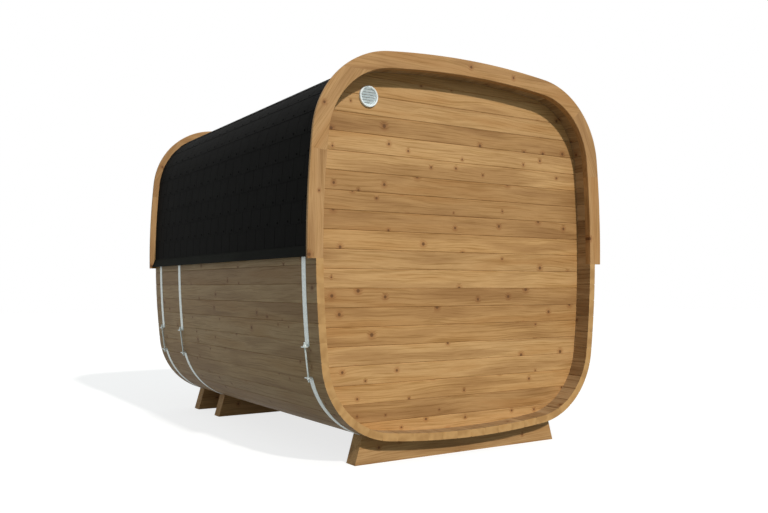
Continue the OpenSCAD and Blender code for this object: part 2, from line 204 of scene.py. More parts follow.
def spruce(name, light, dark, grain_axis=None, rough=0.62, end_tone=None):
    """grain_axis is None for boards that carry the attributes, or else X or Z."""
    material, tree, shader = new_material(name)
    if grain_axis is None:
        place = add(tree, "ShaderNodeAttribute", {"attribute_name": "plank"}).outputs["Vector"]
        tone = add(tree, "ShaderNodeAttribute", {"attribute_name": "tone"}).outputs["Fac"]
    else:
        place = add(tree, "ShaderNodeTexCoord").outputs["Object"]
        # The knots lie on the faces that look along Y, with the grain axis first
        axes = add(tree, "ShaderNodeSeparateXYZ", i0=place).outputs
        across = {"X": "Z", "Z": "X"}[grain_axis]
        place = add(tree, "ShaderNodeCombineXYZ",
                    X=axes[grain_axis], Y=axes[across], Z=axes["Y"]).outputs[0]
        tone = add(tree, "ShaderNodeValue").outputs[0]
        tone.default_value = 0.5
    shift = add(tree, "ShaderNodeCombineXYZ", X=math_node(tree, "MULTIPLY", tone, 37.0),
                Y=math_node(tree, "MULTIPLY", tone, 11.0), Z=math_node(tree, "MULTIPLY", tone, 5.0))
    place = add(tree, "ShaderNodeVectorMath", {"operation": "ADD"},
                i0=place, i1=shift.outputs[0]).outputs[0]

    # Knots: round spots at random places, with the grain flowing round them
    knots = add(tree, "ShaderNodeTexVoronoi", {"voronoi_dimensions": "2D"},
                Vector=place, Scale=1 / KNOT_CELL, Randomness=1.0)
    chance = add(tree, "ShaderNodeSeparateColor", i0=knots.outputs["Color"]).outputs[0]
    chosen = math_node(tree, "GREATER_THAN", chance, CLEAR_SHARE)
    reach = math_node(tree, "MULTIPLY", knots.outputs["Distance"], KNOT_CELL)
    size = add(tree, "ShaderNodeSeparateColor", i0=knots.outputs["Color"]).outputs[1]
    size = math_node(tree, "ADD", math_node(tree, "MULTIPLY", size, SIZE_RANGE), SMALLEST)
    reach = math_node(tree, "DIVIDE", reach, size)
    core = add(tree, "ShaderNodeMapRange", {"interpolation_type": "SMOOTHSTEP"}, Value=reach,
               From_Min=KNOT_R, From_Max=KNOT_R * 0.55, To_Min=0.0, To_Max=1.0).outputs[0]
    halo = add(tree, "ShaderNodeMapRange", {"interpolation_type": "SMOOTHSTEP"}, Value=reach,
               From_Min=KNOT_R * 3.0, From_Max=KNOT_R * 0.9, To_Min=0.0, To_Max=1.0).outputs[0]
    core = math_node(tree, "MULTIPLY", core, chosen)
    halo = math_node(tree, "MULTIPLY", halo, chosen)

    # Growth lines: noise that is long along the grain and narrow across it
    bend = add(tree, "ShaderNodeTexNoise", Vector=place, Scale=2.0, Detail=1.5).outputs["Fac"]
    bend = math_node(tree, "ADD", math_node(tree, "MULTIPLY", bend, WAVE),
                     math_node(tree, "MULTIPLY", halo, KNOT_PUSH))
    bent = add(tree, "ShaderNodeVectorMath", {"operation": "ADD"}, i0=place,
               i1=add(tree, "ShaderNodeCombineXYZ", Y=bend).outputs[0]).outputs[0]
    across = 1 / GRAIN_W
    stretch = add(tree, "ShaderNodeMapping", Vector=bent, Scale=(across * LINE_STRETCH, across, across))
    lines = add(tree, "ShaderNodeTexNoise",
                Vector=stretch.outputs[0], Scale=0.55, Detail=3.0, Roughness=0.6)
    fine = add(tree, "ShaderNodeMapping",
               Vector=bent, Scale=(across * FIBRE_STRETCH, across * 5, across * 5))
    fibres = add(tree, "ShaderNodeTexNoise", Vector=fine.outputs[0], Scale=0.8, Detail=2.0)
    fibres = fibres.outputs["Fac"]
    broad = add(tree, "ShaderNodeMapping", Vector=place, Scale=(1.1, 9.0, 9.0))
    patches = add(tree, "ShaderNodeTexNoise", Vector=broad.outputs[0], Scale=1.0, Detail=2.0)
    patches = patches.outputs["Fac"]

    colour = ramp(tree, lines.outputs["Fac"], [(0.34, dark), (0.52, light), (0.68, light)])
    patch = ramp(tree, patches, [(0.36, "#CFC3B2"), (0.52, "#FFFFFF"), (0.66, "#E9DCC6")])
    colour = blend_colours(tree, "MULTIPLY", 0.7, colour, patch)
    fibre = ramp(tree, fibres, [(0.35, "#D8CDBE"), (0.6, "#FFFFFF")])
    colour = blend_colours(tree, "MULTIPLY", 0.45, colour, fibre)
    board = ramp(tree, tone, [(0.0, "#D6CBBB"), (0.35, "#FFFFFF"), (0.75, "#F6EFE2"), (1.0, "#DDD3C6")])
    colour = blend_colours(tree, "MULTIPLY", 0.8, colour, board)
    halo = math_node(tree, "MULTIPLY", halo, 0.4)
    colour = blend_colours(tree, "MULTIPLY", halo, colour, hex_colour("#C2925C"))
    core = math_node(tree, "MULTIPLY", core, 0.85)
    colour = blend_colours(tree, "MIX", core, colour, hex_colour("#5E3B1B"))
    if end_tone:
        # Sawn ends show no long lines. Their paler tone is near the spruce's own colour and leaves out
        # the painted shade in the staves' colour
        normal = add(tree, "ShaderNodeNewGeometry").outputs["Normal"]
        along = add(tree, "ShaderNodeSeparateXYZ", i0=normal).outputs["Y"]
        is_end = math_node(tree, "GREATER_THAN", math_node(tree, "ABSOLUTE", along), 0.9)
        sawn = blend_colours(tree, "MULTIPLY", 0.6, hex_colour(end_tone), patch)
        colour = blend_colours(tree, "MIX", is_end, colour, sawn)
    tree.links.new(colour, shader.inputs["Base Color"])
    shader.inputs["Roughness"].default_value = rough
    shader.inputs["Specular IOR Level"].default_value = 0.3
    bump = add(tree, "ShaderNodeBump", Strength=0.25, Distance=0.4 * MM, Height=fibres)
    tree.links.new(bump.outputs[0], shader.inputs["Normal"])
    return material


# Oiled spruce reads as honey yellow, with slightly browner growth lines and dark knots
BOARD_LIGHT, BOARD_DARK = "#CCA26E", "#B18852"
board_wood = spruce("planed spruce boards", BOARD_LIGHT, BOARD_DARK)
# The staves are the same spruce as the boards, but their colour is greyer and darker: painted shade, the
# cool shade of the long side
stave_wood = spruce("planed spruce staves with painted shade", "#B59772", "#9A7B54", end_tone="#BF9560")
arch_wood = spruce("planed spruce arches", "#C29868", "#AC8452")
cradle_wood = spruce("sawn spruce cradles", "#C29A6A", "#A57D4E", "X", 0.7)
upright_wood = spruce("planed spruce uprights", BOARD_LIGHT, BOARD_DARK, "Z")
level_wood = spruce("planed spruce rails", BOARD_LIGHT, BOARD_DARK, "X")
print("spruce finishes are ready")

# %% [markdown]
# ## Felt, zinc and vent plastic
# Roofing felt is black bitumen with slate grit pressed into it, so it is matt and
# finely speckled. Hot-dip zinc has pale crystal patches. The vent is moulded ABS.

# %% Felt, zinc and plastic
GRIT = 2.5 * MM
SPANGLE = 9 * MM


def felt(name, base, speck, shine=0.06):
    material, tree, shader = new_material(name)
    place = add(tree, "ShaderNodeTexCoord").outputs["Object"]
    grit = add(tree, "ShaderNodeTexNoise", Vector=place, Scale=1 / GRIT, Detail=2.0).outputs["Fac"]
    cloud = add(tree, "ShaderNodeTexNoise", Vector=place, Scale=5.0, Detail=3.0).outputs["Fac"]
    colour = ramp(tree, grit, [(0.42, base), (0.72, speck)])
    shade = ramp(tree, cloud, [(0.3, "#D0D0D0"), (0.7, "#FFFFFF")])
    colour = blend_colours(tree, "MULTIPLY", 1.0, colour, shade)
    tree.links.new(colour, shader.inputs["Base Color"])
    shader.inputs["Roughness"].default_value = 0.88
    shader.inputs["Specular IOR Level"].default_value = shine
    bump = add(tree, "ShaderNodeBump", Strength=0.4, Distance=0.6 * MM, Height=grit)
    tree.links.new(bump.outputs[0], shader.inputs["Normal"])
    return material


def zinc(name):
    material, tree, shader = new_material(name)
    place = add(tree, "ShaderNodeTexCoord").outputs["Object"]
    spangle = add(tree, "ShaderNodeTexVoronoi", Vector=place, Scale=1 / SPANGLE)
    patch = add(tree, "ShaderNodeSeparateColor", i0=spangle.outputs["Color"]).outputs[0]
    colour = ramp(tree, patch, [(0.0, "#C9D0CE"), (1.0, "#E2E8E6")])
    tree.links.new(colour, shader.inputs["Base Color"])
    shader.inputs["Metallic"].default_value = 0.55
    rough = add(tree, "ShaderNodeMapRange", Value=patch, To_Min=0.42, To_Max=0.58).outputs[0]
    tree.links.new(rough, shader.inputs["Roughness"])
    return material


def moulded_plastic(name, base, pale):
    material, tree, shader = new_material(name)
    place = add(tree, "ShaderNodeTexCoord").outputs["Object"]
    cloud = add(tree, "ShaderNodeTexNoise", Vector=place, Scale=60.0, Detail=2.0).outputs["Fac"]
    colour = ramp(tree, cloud, [(0.35, base), (0.65, pale)])
    tree.links.new(colour, shader.inputs["Base Color"])
    shader.inputs["Roughness"].default_value = 0.42
    bump = add(tree, "ShaderNodeBump", Strength=0.1, Distance=0.2 * MM, Height=cloud)
    tree.links.new(bump.outputs[0], shader.inputs["Normal"])
    return material


# The grit keeps the felt nearly black and without any shine, and zinc reads as pale grey
roof_felt = felt("slate grit felt", "#0C0C0B", "#191918")
eave_felt = felt("eave felt", "#121310", "#1F211C")
strap_zinc = zinc("hot dip zinc")
# The nail heads are galvanised, but they are coloured near black and without shine: painted shade, the
# dark dots of shade at the nails
nail_heads_painted_shade = felt("nail heads painted black as shade", "#020202", "#040404", 0.0)
# Moulded ABS is white with a faint blue cast and a soft shine
vent_plastic = moulded_plastic("moulded ABS", "#EEF8FC", "#F6FCFE")

# %% [markdown]
# ## Wrapping rows round the body
# A small flat unit is repeated in rows and columns by Geometry Nodes, and the whole
# sheet is then wrapped round the outline by sampling the outline curve. The same
# tree lays staves, shingles and nail heads.

# %% The wrapping tree
def outline_curve(name, step=0.008):
    count = int(ROUND / step)
    data = bpy.data.curves.new(name, "CURVE")
    data.dimensions = "3D"
    spline = data.splines.new("POLY")
    spline.points.add(count - 1)
    for i, point in enumerate(spline.points):
        point.co = (*wrap(i * ROUND / count, 0.0, 0.0), 1.0)
    spline.use_cyclic_u = True
    obj = bpy.data.objects.new(name, data)
    bpy.context.scene.collection.objects.link(obj)
    return obj


TREE_INPUTS = [("Unit", "Object"), ("Rows", "Int"), ("Columns", "Int"), ("First row", "Float"),
               ("Row pitch", "Float"), ("First column", "Float"), ("Column pitch", "Float"),
               ("Stagger", "Float"), ("Seed", "Int"), ("Finish", "Material")]


def wrapping_tree():
    tree = bpy.data.node_groups.new("lay and wrap", "GeometryNodeTree")
    face = tree.interface
    face.new_socket("Geometry", in_out="INPUT", socket_type="NodeSocketGeometry")
    for name, kind in TREE_INPUTS:
        face.new_socket(name, in_out="INPUT", socket_type="NodeSocket" + kind)
    face.new_socket("Geometry", in_out="OUTPUT", socket_type="NodeSocketGeometry")
    given = tree.nodes.new("NodeGroupInput").outputs

    def m(operation, a, b=0.0):
        return math_node(tree, operation, a, b)

    # Flat places of the units, by their number
    number = add(tree, "GeometryNodeInputIndex").outputs[0]
    row = m("FLOOR", m("DIVIDE", m("ADD", number, 0.5), given["Columns"]))
    column = m("SUBTRACT", number, m("MULTIPLY", row, given["Columns"]))
    odd = m("MODULO", row, 2.0)
    x = m("ADD", given["First row"], m("MULTIPLY", row, given["Row pitch"]))
    y = m("ADD", given["First column"], m("MULTIPLY", column, given["Column pitch"]))
    y = m("ADD", y, m("MULTIPLY", odd, given["Stagger"]))
    flat = add(tree, "ShaderNodeCombineXYZ", X=x, Y=y)
    total = m("MULTIPLY", given["Rows"], given["Columns"])
    points = add(tree, "GeometryNodePoints", Count=total, Position=flat.outputs[0])
    unit = add(tree, "GeometryNodeObjectInfo", Object=given["Unit"])
    laid = add(tree, "GeometryNodeInstanceOnPoints",
               Points=points.outputs[0], Instance=unit.outputs["Geometry"])
    tone = add(tree, "FunctionNodeRandomValue", {"data_type": "FLOAT"}, Seed=given["Seed"])
    toned = add(tree, "GeometryNodeStoreNamedAttribute", {"data_type": "FLOAT", "domain": "INSTANCE"},
                Geometry=laid.outputs[0], Name="tone", Value=tone.outputs[1])
    real = add(tree, "GeometryNodeRealizeInstances", Geometry=toned.outputs[0])

    # The grain runs along the body, so the plank's X is the length along
    place = add(tree, "GeometryNodeInputPosition").outputs[0]
    parts = add(tree, "ShaderNodeSeparateXYZ", i0=place).outputs
    plank = add(tree, "ShaderNodeCombineXYZ", X=parts["Y"], Y=parts["X"], Z=parts["Z"])
    marked = add(tree, "GeometryNodeStoreNamedAttribute",
                 {"data_type": "FLOAT_VECTOR", "domain": "POINT"},
                 Geometry=real.outputs[0], Name="plank", Value=plank.outputs[0])

    # Wrap: the place on the outline, plus the height along its outward direction
    covered = m("FLOORED_MODULO", parts["X"], ROUND)
    on_line = add(tree, "GeometryNodeSampleCurve", {"mode": "LENGTH", "use_all_curves": True},
                  Curves=given["Geometry"], Length=covered)
    outward = add(tree, "ShaderNodeVectorMath", {"operation": "CROSS_PRODUCT"},
                  i0=(0, 1, 0), i1=on_line.outputs["Tangent"]).outputs[0]
    raised = add(tree, "ShaderNodeVectorMath", {"operation": "SCALE"},
                 i0=outward, Scale=parts["Z"]).outputs[0]
    along = add(tree, "ShaderNodeCombineXYZ", Y=parts["Y"]).outputs[0]
    wrapped = add(tree, "ShaderNodeVectorMath", {"operation": "ADD"},
                  i0=on_line.outputs["Position"], i1=raised)
    wrapped = add(tree, "ShaderNodeVectorMath", {"operation": "ADD"}, i0=wrapped.outputs[0], i1=along)
    moved = add(tree, "GeometryNodeSetPosition", Geometry=marked.outputs[0], Position=wrapped.outputs[0])
    done = add(tree, "GeometryNodeSetMaterial", Geometry=moved.outputs[0], Material=given["Finish"])
    out = tree.nodes.new("NodeGroupOutput")
    tree.links.new(done.outputs[0], out.inputs[0])
    return tree


WRAP = wrapping_tree()


def mesh_object(name, verts, faces, material=None):
    mesh = bpy.data.meshes.new(name)
    mesh.from_pydata([tuple(v) for v in verts], [], faces)
    mesh.update()
    obj = bpy.data.objects.new(name, mesh)
    bpy.context.scene.collection.objects.link(obj)
    if material:
        mesh.materials.append(material)
    return obj


def tidy_normals(obj):
    """Turns every face of a closed piece outwards."""
    bm = bmesh.new()
    bm.from_mesh(obj.data)
    bmesh.ops.recalc_face_normals(bm, faces=bm.faces)
    bm.to_mesh(obj.data)
    bm.free()


def lay(name, unit, rows, columns, first_row, row_pitch, first_column, column_pitch, stagger,
        finish, seed=1):
    """Lays a unit in rows and columns, wraps the sheet, and returns a plain mesh object."""
    curve = outline_curve(name + "_line")
    modifier = curve.modifiers.new("wrap", "NODES")
    modifier.node_group = WRAP
    values = [unit, rows, columns, first_row, row_pitch, first_column, column_pitch,
              stagger, seed, finish]
    sockets = {s.name: s.identifier for s in WRAP.interface.items_tree if s.in_out == "INPUT"}
    for (key, kind), value in zip(TREE_INPUTS, values):
        modifier[sockets[key]] = value
    graph = bpy.context.evaluated_depsgraph_get()
    mesh = bpy.data.meshes.new_from_object(curve.evaluated_get(graph))
    bpy.data.objects.remove(curve)
    mesh.name = name
    obj = bpy.data.objects.new(name, mesh)
    bpy.context.scene.collection.objects.link(obj)
    tidy_normals(obj)
    print(name, rows, "x", columns, "units,", len(mesh.polygons), "faces")
    return obj


# %% [markdown]
# ## Staves
# The real shell is some seventy planks drawn together by straps. One long bent board
# could be cut into strips, but single planks give real joints and a tone for each.
# Each stave is a plank with eased edges, so that two neighbours meet in a fine V.
# It has a few divisions across its width, which let it follow the corners.

# %% Stave units
STAVE_COUNT = 70
STAVE_PITCH = ROUND / STAVE_COUNT
STAVE_GAP = 0.2 * MM
EASE = 3.5 * MM


def plank_unit(name, width, thick, y0, y1, parts=4, ease=EASE):
    """A plank laid flat: X across, Y along, and its outer face at Z = 0."""
    inner = np.linspace(-width / 2 + ease, width / 2 - ease, parts + 1)
    xs = [-width / 2, *inner, width / 2]
    outer = [-ease] + [0.0] * (parts + 1) + [-ease]
    under = [-thick + ease] + [-thick] * (parts + 1) + [-thick + ease]
    n = len(xs)
    verts = []
    for y in (y0, y1):
        verts += [(x, y, z) for x, z in zip(xs, outer)]
        verts += [(x, y, z) for x, z in zip(xs, under)]
    faces = []
    a, b = 0, 2 * n
    for i in range(n - 1):
        faces.append((a + i, a + i + 1, b + i + 1, b + i))
        faces.append((a + n + i + 1, a + n + i, b + n + i, b + n + i + 1))
        faces.append((a + i, a + n + i, a + n + i + 1, a + i + 1))
        faces.append((b + i, b + i + 1, b + n + i + 1, b + n + i))
    faces.append((a, b, b + n, a + n))
    faces.append((a + n - 1, a + 2 * n - 1, b + 2 * n - 1, b + n - 1))
    return mesh_object(name, verts, faces)


def lay_staves(name, s0, s1, y_end, nodes, seed):
    """Lays as many equal staves as fit from one length round the outline to another."""
    count = round((s1 - s0) / STAVE_PITCH)
    pitch = (s1 - s0) / count
    unit = plank_unit("stave_unit", pitch - STAVE_GAP, STAVE_T, -y_end, y_end)
    obj = lay(name, unit, count, 1, s0 + pitch / 2, pitch, 0.0, 1.0, 0.0, stave_wood, seed)
    bpy.data.objects.remove(unit)
    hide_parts(*nodes)
    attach(obj, "root")
    return obj


LOW_JOINT = -0.084
HIGH_JOINT = LOW_JOINT + STAVE_PITCH
upper_nodes = ["roof_staves", "upper_corner_left", "upper_corner_right"]
lower_nodes = ["floor_staves", "lower_corner_left", "lower_corner_right",
               "side_staves_left", "side_staves_right"]
lay_staves("upper_staves", HIGH_JOINT, 2 * QUARTER - HIGH_JOINT, HALF_L - ARCH_T, upper_nodes, 3)
lay_staves("lower_staves", 2 * QUARTER - LOW_JOINT, 4 * QUARTER + LOW_JOINT, HALF_L, lower_nodes, 8)

# %% [markdown]
# The arch feet end inside one stave on each side. That stave is notched: it is full
# length below the feet and shorter above them. It is swept in two strips that meet
# without an eased edge, so that they read as one plank.

# %% Helpers for pieces, and the notched staves
def swept(s0, s1, section, flip=1, step=0.012):
    """Sweeps a section of (height, Y) round the outline from one length to another."""
    count = max(2, int(abs(s1 - s0) / step) + 1)
    verts, faces = [], []
    n = len(section)
    for s in np.linspace(s0, s1, count):
        verts += [wrap(s, flip * y, h) for h, y in section]
    for i in range(count - 1):
        for j in range(n):
            k = (j + 1) % n
            faces.append((i * n + j, i * n + k, (i + 1) * n + k, (i + 1) * n + j))
    faces.append(tuple(range(n))[::-1])
    faces.append(tuple(range((count - 1) * n, count * n)))
    return verts, faces


def add_tones(mesh, planks, tones):
    """Stores the two attributes that the spruce reads."""
    plank = mesh.attributes.get("plank") or mesh.attributes.new("plank", "FLOAT_VECTOR", "POINT")
    plank.data.foreach_set("vector", np.array(planks, dtype=float).ravel())
    tone = mesh.attributes.get("tone") or mesh.attributes.new("tone", "FLOAT", "POINT")
    tone.data.foreach_set("value", np.array(tones, dtype=float))


def mirror_x(obj, name):
    """A copy on the left side, with its faces turned to point outwards again."""
    mesh = obj.data.copy()
    mesh.transform(Matrix.Scale(-1, 4, (1, 0, 0)))
    mesh.flip_normals()
    twin = bpy.data.objects.new(name, mesh)
    bpy.context.scene.collection.objects.link(twin)
    return twin


def finish_piece(obj, slot, *nodes):
    """Hides the construction pieces it stands in for and hangs it on what it rides on. The slot is not
    used.
    """
    if nodes:
        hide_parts(*nodes)
    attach(obj, "root")


FOOT = side_length(-ARCH_DROP)
strips = [(LOW_JOINT + STAVE_GAP / 2, FOOT, HALF_L), (FOOT, HIGH_JOINT - STAVE_GAP / 2, HALF_L - ARCH_T)]
verts, faces = [], []
for s0, s1, end in strips:
    v, f = swept(s0, s1, [(-STAVE_T, -end), (0, -end), (0, end), (-STAVE_T, end)])
    faces += [tuple(i + len(verts) for i in face) for face in f]
    verts += v
notched = mesh_object("notched_stave_right", verts, faces, stave_wood)
add_tones(notched.data, [(v[1], v[2], v[0]) for v in verts], [0.4] * len(verts))
tidy_normals(notched)
finish_piece(notched, "stave_wood", "side_staves_right")
finish_piece(mirror_x(notched, "notched_stave_left"), "stave_wood", "side_staves_left")
print("notched staves", 2)

# %% [markdown]
# ## End walls
# The end walls are level tongue and groove boards. A single slab with drawn lines would
# be quicker, but separate boards give joints that catch the light.
# Each board is cut to the inside
# of the shell at its two ends, so its outline is taken from the shell's own arcs.

# %% Wall boards
WALL_OUT = 3 * MM - STAVE_T
BOARD_GAP = 0.2 * MM


def half_width(z, out):
    """Half the inside width at a height above the axis, for an offset from the staves."""
    z = min(abs(z), HALF_H + out - 1e-5)
    side_top = CORNER[1] + (CORNER_R + out) * math.sin(SIDE_A)
    corner_top = CORNER[1] + (CORNER_R + out) * math.sin(TOP_A)
    if z < side_top:
        return HALF_W - SIDE_R + math.sqrt((SIDE_R + out) ** 2 - z**2)
    if z < corner_top:
        return CORNER[0] + math.sqrt((CORNER_R + out) ** 2 - (z - CORNER[1]) ** 2)
    return math.sqrt(max((TOP_R + out) ** 2 - (z - HALF_H + TOP_R) ** 2, 0.0))


def strip(rows, y_out, y_in, facing):
    """A closed strip from rows of (z, left x, right x, ease) between two Y planes."""
    verts, faces = [], []
    for z, x0, x1, ease in rows:
        outer, inner = y_out - facing * ease, y_in + facing * ease
        verts += [(x0, outer, AXIS_H + z), (x1, outer, AXIS_H + z),
                  (x1, inner, AXIS_H + z), (x0, inner, AXIS_H + z)]
    for i in range(len(rows) - 1):
        a, b = 4 * i, 4 * i + 4
        for j in range(4):
            k = (j + 1) % 4
            faces.append((a + j, a + k, b + k, b + j))
    faces.append((3, 2, 1, 0))
    e = 4 * (len(rows) - 1)
    faces.append((e, e + 1, e + 2, e + 3))
    return verts, faces


def board_rows(z0, z1, ease_low, ease_high, edge):
    """Rows of one board: edge gives the left and right X at a height."""
    inner = np.linspace(z0 + EASE, z1 - EASE, 5)
    zs = [z0, *inner, z1]
    eases = [EASE if ease_low else 0.0] + [0.0] * 5 + [EASE if ease_high else 0.0]
    return [(z, *edge(z), ease) for z, ease in zip(zs, eases)]


def board_wall(name, y_out, y_in, material, hole=None):
    """Level boards between the planes. hole is (half width, low, high) of a doorway."""
    facing = 1 if y_out > y_in else -1
    rng = np.random.default_rng(5 if facing > 0 else 6)
    joints = [HALF_H + WALL_OUT - 2e-4]
    z = TOP_BOARD_JOINT
    while z > -HALF_H - WALL_OUT + 0.02:
        joints.append(z)
        z -= BOARD_PITCH
    joints.append(-HALF_H - WALL_OUT + 2e-4)
    verts, faces, planks, tones = [], [], [], []
    for top, low in zip(joints, joints[1:]):
        tone = rng.random()
        hi, lo = top - BOARD_GAP / 2, low + BOARD_GAP / 2
        cuts = [lo, hi]
        if hole:
            cuts = sorted({lo, hi} | {c for c in hole[1:] if lo < c < hi})
        for z0, z1 in zip(cuts, cuts[1:]):
            spans = [lambda z: (-half_width(z, WALL_OUT), half_width(z, WALL_OUT))]
            if hole and hole[1] <= (z0 + z1) / 2 <= hole[2]:
                spans = [lambda z: (-half_width(z, WALL_OUT), -hole[0]),
                         lambda z: (hole[0], half_width(z, WALL_OUT))]
            for span in spans:
                v, f = strip(board_rows(z0, z1, z0 == lo, z1 == hi, span), y_out, y_in, facing)
                faces += [tuple(i + len(verts) for i in face) for face in f]
                verts += v
                planks += [(p[0], p[2], p[1]) for p in v]
                tones += [tone] * len(v)
    obj = mesh_object(name, verts, faces, material)
    add_tones(obj.data, planks, tones)
    tidy_normals(obj)
    print(name, len(joints) - 1, "boards")
    return obj, joints


def cut_round_hole(obj, x, z, radius, y0, y1):
    """Cuts a level round hole through a piece with a boolean, and keeps the result."""
    bpy.ops.mesh.primitive_cylinder_add(vertices=48, radius=radius, depth=y1 - y0,
                                        location=(x, (y0 + y1) / 2, z), rotation=(math.pi / 2, 0, 0))
    cutter = bpy.context.object
    modifier = obj.modifiers.new("hole", "BOOLEAN")
    modifier.object = cutter
    modifier.operation = "DIFFERENCE"
    modifier.solver = "EXACT"
    graph = bpy.context.evaluated_depsgraph_get()
    mesh = bpy.data.meshes.new_from_object(obj.evaluated_get(graph))
    obj.modifiers.clear()
    obj.data = mesh
    bpy.data.objects.remove(cutter)


rear, joints = board_wall("rear_boards", REAR_FACE_Y, REAR_FACE_Y - WALL_T, board_wood)
cut_round_hole(rear, VENT_X, AXIS_H + VENT_Z, DUCT_D / 2, REAR_FACE_Y - 0.1, REAR_FACE_Y + 0.1)
# The cut makes new corners, so the places and tones are set again by height
heights = np.array([v.co.z - AXIS_H for v in rear.data.vertices])
board = np.searchsorted(-np.array(joints), -heights)
tones = np.random.default_rng(5).random(len(joints) + 2)[board]
add_tones(rear.data, [(v.co.x, v.co.z, v.co.y) for v in rear.data.vertices], tones)
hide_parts("rear_wall")
SILL_Z = -HALF_H + STAVE_T + SILL_H
HEAD_Z = SILL_Z + DOOR_H
OPENING = (DOOR_W / 2 + FRAME_W / 2, -HALF_H, HEAD_Z + FRAME_W / 2)
front = board_wall("front_boards", FRONT_FACE_Y, FRONT_FACE_Y + WALL_T, board_wood, OPENING)[0]
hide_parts("front_wall_left", "front_wall_right", "front_wall_over_door")
for wall in (rear, front):
    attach(wall, "root")

# %% [markdown]
# ## Arches
# Each arch is cut from straight planks, so its legs have upright grain, its top has
# level grain, and its corners have slanting grain. One section, a rib with an outer
# lip, is swept round the outline and then cut at the joints.

# %% Arch pieces
ARCH_EASE = 2.5 * MM
HAIR = 0.15 * MM


def arch_section():
    """Height above the staves and Y for the rear arch, anticlockwise."""
    e = ARCH_EASE
    back, mid, end = HALF_L - ARCH_T, HALF_L - LIP_T, HALF_L
    return [(-STAVE_T, back), (0, back), (0, mid), (LIP_OUT - e, mid), (LIP_OUT, mid + e),
            (LIP_OUT, end - e), (LIP_OUT - e, end), (-STAVE_T + e, end), (-STAVE_T, end - e)]


def cut_above(obj, z, keep_above):
    """Cuts a piece at a level plane and closes it."""
    bm = bmesh.new()
    bm.from_mesh(obj.data)
    geometry = bm.verts[:] + bm.edges[:] + bm.faces[:]
    done = bmesh.ops.bisect_plane(bm, geom=geometry, plane_co=(0, 0, z), plane_no=(0, 0, 1),
                                  clear_inner=keep_above, clear_outer=not keep_above)
    edges = [e for e in done["geom_cut"] if isinstance(e, bmesh.types.BMEdge)]
    bmesh.ops.contextual_create(bm, geom=edges)
    bm.to_mesh(obj.data)
    bm.free()


def arch_piece(end, name, s0, s1, grain_turn, tone, level_cut=None):
    flip = 1 if end == "rear" else -1
    verts, faces = swept(s0, s1, arch_section(), flip)
    obj = mesh_object(f"{end}_{name}_plank", verts, faces, arch_wood)
    if level_cut is not None:
        cut_above(obj, AXIS_H + TOP_JOINT + (HAIR if level_cut else -HAIR), level_cut)
    c, s = math.cos(grain_turn), math.sin(grain_turn)
    planks = [(v.co.x * c + v.co.z * s, -v.co.x * s + v.co.z * c, v.co.y) for v in obj.data.vertices]
    add_tones(obj.data, planks, [tone] * len(planks))
    tidy_normals(obj)
    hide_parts(f"{end}_{name}")
    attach(obj, "root")
    return obj


foot, knee = FOOT, side_length(LEG_JOINT)
slope = SIDE_LEN + CORNER_R * (math.radians(SLOPE_JOINT) - SIDE_A)
crown = SIDE_LEN + CORNER_LEN
for end in ("rear", "front"):
    arch_piece(end, "arch_leg_right", foot, knee - HAIR, math.pi / 2, 0.31)
    arch_piece(end, "arch_leg_left", 2 * QUARTER - foot, 2 * QUARTER - knee + HAIR, math.pi / 2, 0.52)
    arch_piece(end, "arch_corner_right", knee + HAIR, crown, math.radians(125), 0.44, False)
    arch_piece(end, "arch_corner_left", 2 * QUARTER - knee - HAIR, 2 * QUARTER - slope + HAIR,
               math.radians(66), 0.22)

# %% [markdown]
# The top piece runs level from the sloping joint on the left to the level joint on
# the right, where it is cut off flat underneath.

# %% Arch tops
for end in ("rear", "front"):
    flip = 1 if end == "rear" else -1
    verts, faces = swept(side_length(LEG_JOINT), 2 * QUARTER - slope - HAIR, arch_section(), flip)
    top = mesh_object(end + "_arch_top_plank", verts, faces, arch_wood)
    bm = bmesh.new()
    bm.from_mesh(top.data)
    # Only the right side is cut: a plane through the joint's inner end
    level = AXIS_H + TOP_JOINT + HAIR
    geometry = bm.verts[:] + bm.edges[:] + bm.faces[:]
    right = [g for g in geometry if (g.co.x > 0.3 if isinstance(g, bmesh.types.BMVert)
                                     else all(v.co.x > 0.3 for v in g.verts))]
    done = bmesh.ops.bisect_plane(bm, geom=right, plane_co=(0, 0, level),
                                  plane_no=(0, 0, 1), clear_inner=True)
    edges = [e for e in done["geom_cut"] if isinstance(e, bmesh.types.BMEdge)]
    bmesh.ops.contextual_create(bm, geom=edges)
    bm.to_mesh(top.data)
    bm.free()
    planks = [(v.co.x, v.co.z, v.co.y) for v in top.data.vertices]
    add_tones(top.data, planks, [0.63] * len(planks))
    tidy_normals(top)
    print(top.name, len(top.data.polygons), "faces")
    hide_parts(end + "_arch_top")
    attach(top, "root")

# %% [markdown]
# ## Felt shingles
# The covering is a thin underlay and rows of felt tabs that lap each other like
# scales. The rows start at the eave on each side and meet at the crown. A nail
# head sits above each slot between two tabs, coloured near black as painted shade.

# %% Shingles
ROOF_L = HALF_L - LIP_T
BASE_T = 5 * MM
TAB_PITCH = 0.148
ROW_PITCH = 0.128
TAB_T = 3 * MM
TAB_SLOT = 3.2 * MM
TAB_LIFT = 2.4 * MM
COLUMNS = 20


def tab_unit(name):
    """A tab laid flat with its lower edge at -X, raised over the row below it."""
    low, high = -0.5 * ROW_PITCH, 0.72 * ROW_PITCH
    half = TAB_PITCH / 2 - TAB_SLOT / 2
    xs = np.linspace(low, high, 6)
    verts, faces = [], []
    for x in xs:
        lift = (high - x) / (high - low) * TAB_LIFT
        z = BASE_T - 2 * MM + lift
        verts += [(x, -half, z), (x, half, z), (x, half, z + TAB_T), (x, -half, z + TAB_T)]
    for i in range(len(xs) - 1):
        for j in range(4):
            k = (j + 1) % 4
            faces.append((4 * i + j, 4 * i + k, 4 * i + 4 + k, 4 * i + 4 + j))
    faces += [(3, 2, 1, 0), (20, 21, 22, 23)]
    return mesh_object(name, verts, faces)


